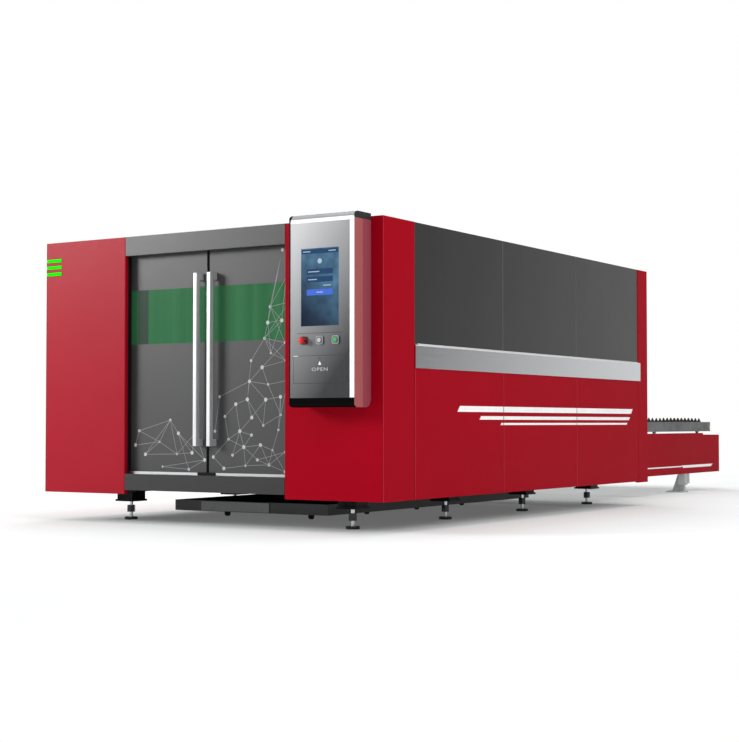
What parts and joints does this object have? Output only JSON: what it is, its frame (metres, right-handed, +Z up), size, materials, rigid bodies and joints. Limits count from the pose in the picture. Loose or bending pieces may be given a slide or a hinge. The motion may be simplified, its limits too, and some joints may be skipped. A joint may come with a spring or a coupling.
{
  "type": "enclosed laser cutting machine with exchange table",
  "caption": "Enclosed sheet-metal laser cutting machine with sliding front doors, operator console, gantry head and two-level exchange table.",
  "frame": {"origin": "centre of the floor rectangle under the machine, console and table included", "axes": "+X to the operator's right, +Y from the front doors back along the table, +Z up"},
  "size_m": [3.062, 8.33, 2.134],
  "materials": {
    "red_paint": "gloss",
    "grey_paint": "satin",
    "dark_steel": "satin",
    "frame_grey": "satin",
    "slat_steel": "satin",
    "bright_steel": "satin",
    "brushed_aluminium": "satin",
    "black_plastic": "matte",
    "seal_rubber": "matte",
    "console_grey": "satin",
    "screen_glass": "gloss",
    "green_window": "gloss",
    "lamp_green": "gloss",
    "red_plastic": "gloss",
    "green_plastic": "gloss",
    "grey_plastic": "gloss",
    "nozzle_copper": "satin"
  },
  "bodies": {
    "machine": {"bed_frame": "dark_steel", "levelling_feet": "bright_steel", "gantry_rails": "bright_steel", "gear_racks": "dark_steel", "left_front_column": "red_paint", "right_front_column": "red_paint", "rear_columns": "red_paint", "front_header": "grey_paint", "front_sill": "grey_paint", "door_top_track": "bright_steel", "door_bottom_track": "brushed_aluminium", "door_stop": "black_plastic", "door_seals": "seal_rubber", "enclosure_frame": "dark_steel", "left_upper_panels": "grey_paint", "right_upper_panels": "grey_paint", "left_lower_panels": "red_paint", "right_lower_panels": "red_paint", "trim_bands": "brushed_aluminium", "rear_panels": "grey_paint", "roof_panels": "grey_paint", "lamp_bars": "lamp_green", "table_frame": "frame_grey", "table_side_skirts": "red_paint", "table_end_skirt": "red_paint", "table_legs": "frame_grey", "console_housing": "brushed_aluminium", "console_bezel": "brushed_aluminium", "console_face": "console_grey", "console_screen": "screen_glass", "button_collars": "black_plastic"},
    "left_door": {"left_door_leaf": "grey_paint", "left_door_window": "green_window", "left_door_handle": "brushed_aluminium"},
    "right_door": {"right_door_leaf": "grey_paint", "right_door_window": "green_window", "right_door_handle": "brushed_aluminium"},
    "flap": {"keyboard_flap": "console_grey", "keyboard": "black_plastic"},
    "estop": {"estop_button": "red_plastic"},
    "pause": {"pause_button": "grey_plastic"},
    "start": {"start_button": "green_plastic"},
    "gantry": {"gantry_beam": "frame_grey", "cross_rails": "bright_steel", "gantry_drives": "black_plastic"},
    "carriage": {"head_carriage": "brushed_aluminium"},
    "head": {"cutting_head": "brushed_aluminium", "cutting_nozzle": "nozzle_copper"},
    "upper_pallet": {"upper_pallet_frame": "frame_grey", "upper_pallet_slats": "slat_steel"},
    "lower_pallet": {"lower_pallet_frame": "frame_grey", "lower_pallet_slats": "slat_steel"},
    "lift_door": {"rear_lift_door": "grey_paint"},
    "cart": {"slag_cart": "dark_steel"},
    "upper_wheel_set_1": {"upper_wheels_1": "bright_steel"},
    "upper_wheel_set_2": {"upper_wheels_2": "bright_steel"},
    "upper_wheel_set_3": {"upper_wheels_3": "bright_steel"},
    "lower_wheel_set_1": {"lower_wheels_1": "bright_steel"},
    "lower_wheel_set_2": {"lower_wheels_2": "bright_steel"},
    "lower_wheel_set_3": {"lower_wheels_3": "bright_steel"}
  },
  "joints": [
    {"name": "left_door_slide", "type": "slide", "parent": "machine", "child": "left_door", "axis": [-1, 0, 0], "range_m": [0, 0.63]},
    {"name": "right_door_slide", "type": "slide", "parent": "machine", "child": "right_door", "axis": [1, 0, 0], "range_m": [0, 0.63]},
    {"name": "flap_hinge", "type": "hinge", "parent": "machine", "child": "flap", "pos_m": [1.168, -4.115, 1.002], "axis": [1, 0, 0], "range_deg": [0, 90]},
    {"name": "estop_press", "type": "slide", "parent": "machine", "child": "estop", "axis": [0, 1, 0], "range_m": [0, 0.006], "stiffness_N_per_m": 1500},
    {"name": "pause_press", "type": "slide", "parent": "machine", "child": "pause", "axis": [0, 1, 0], "range_m": [0, 0.004], "stiffness_N_per_m": 1200},
    {"name": "start_press", "type": "slide", "parent": "machine", "child": "start", "axis": [0, 1, 0], "range_m": [0, 0.004], "stiffness_N_per_m": 1200},
    {"name": "gantry_travel", "type": "slide", "parent": "machine", "child": "gantry", "axis": [0, 1, 0], "range_m": [0, 3.05]},
    {"name": "carriage_travel", "type": "slide", "parent": "gantry", "child": "carriage", "axis": [1, 0, 0], "range_m": [-0.75, 0.75]},
    {"name": "head_lift", "type": "slide", "parent": "carriage", "child": "head", "axis": [0, 0, 1], "range_m": [-0.235, 0]},
    {"name": "pallet_exchange", "type": "slide", "parent": "machine", "child": "upper_pallet", "axis": [0, -1, 0], "range_m": [0, 3.98]},
    {"name": "lower_pallet_exchange", "type": "slide", "parent": "machine", "child": "lower_pallet", "axis": [0, 1, 0], "range_m": [0, 3.98]},
    {"name": "lift_door_slide", "type": "slide", "parent": "machine", "child": "lift_door", "axis": [0, 0, -1], "range_m": [0, 0.5]},
    {"name": "cart_slide", "type": "slide", "parent": "machine", "child": "cart", "axis": [0, -1, 0], "range_m": [0, 1.6]},
    {"name": "upper_wheel_spin_1", "type": "hinge", "parent": "upper_pallet", "child": "upper_wheel_set_1", "pos_m": [0, 1.13, 0.665], "axis": [1, 0, 0], "range_deg": [0, 6515.35]},
    {"name": "upper_wheel_spin_2", "type": "hinge", "parent": "upper_pallet", "child": "upper_wheel_set_2", "pos_m": [0, 2.355, 0.665], "axis": [1, 0, 0], "range_deg": [0, 6515.35]},
    {"name": "upper_wheel_spin_3", "type": "hinge", "parent": "upper_pallet", "child": "upper_wheel_set_3", "pos_m": [0, 3.58, 0.665], "axis": [1, 0, 0], "range_deg": [0, 6515.35]},
    {"name": "lower_wheel_spin_1", "type": "hinge", "parent": "lower_pallet", "child": "lower_wheel_set_1", "pos_m": [0, -2.85, 0.465], "axis": [-1, 0, 0], "range_deg": [0, 6515.35]},
    {"name": "lower_wheel_spin_2", "type": "hinge", "parent": "lower_pallet", "child": "lower_wheel_set_2", "pos_m": [0, -1.625, 0.465], "axis": [-1, 0, 0], "range_deg": [0, 6515.35]},
    {"name": "lower_wheel_spin_3", "type": "hinge", "parent": "lower_pallet", "child": "lower_wheel_set_3", "pos_m": [0, -0.4, 0.465], "axis": [-1, 0, 0], "range_deg": [0, 6515.35]}
  ],
  "couplings": [
    {"joint": "lower_pallet_exchange", "follows": "pallet_exchange", "ratio": 1},
    {"joint": "upper_wheel_spin_1", "follows": "pallet_exchange", "rad_per_m": 28.571},
    {"joint": "upper_wheel_spin_2", "follows": "pallet_exchange", "rad_per_m": 28.571},
    {"joint": "upper_wheel_spin_3", "follows": "pallet_exchange", "rad_per_m": 28.571},
    {"joint": "lower_wheel_spin_1", "follows": "pallet_exchange", "rad_per_m": 28.571},
    {"joint": "lower_wheel_spin_2", "follows": "pallet_exchange", "rad_per_m": 28.571},
    {"joint": "lower_wheel_spin_3", "follows": "pallet_exchange", "rad_per_m": 28.571}
  ]
}
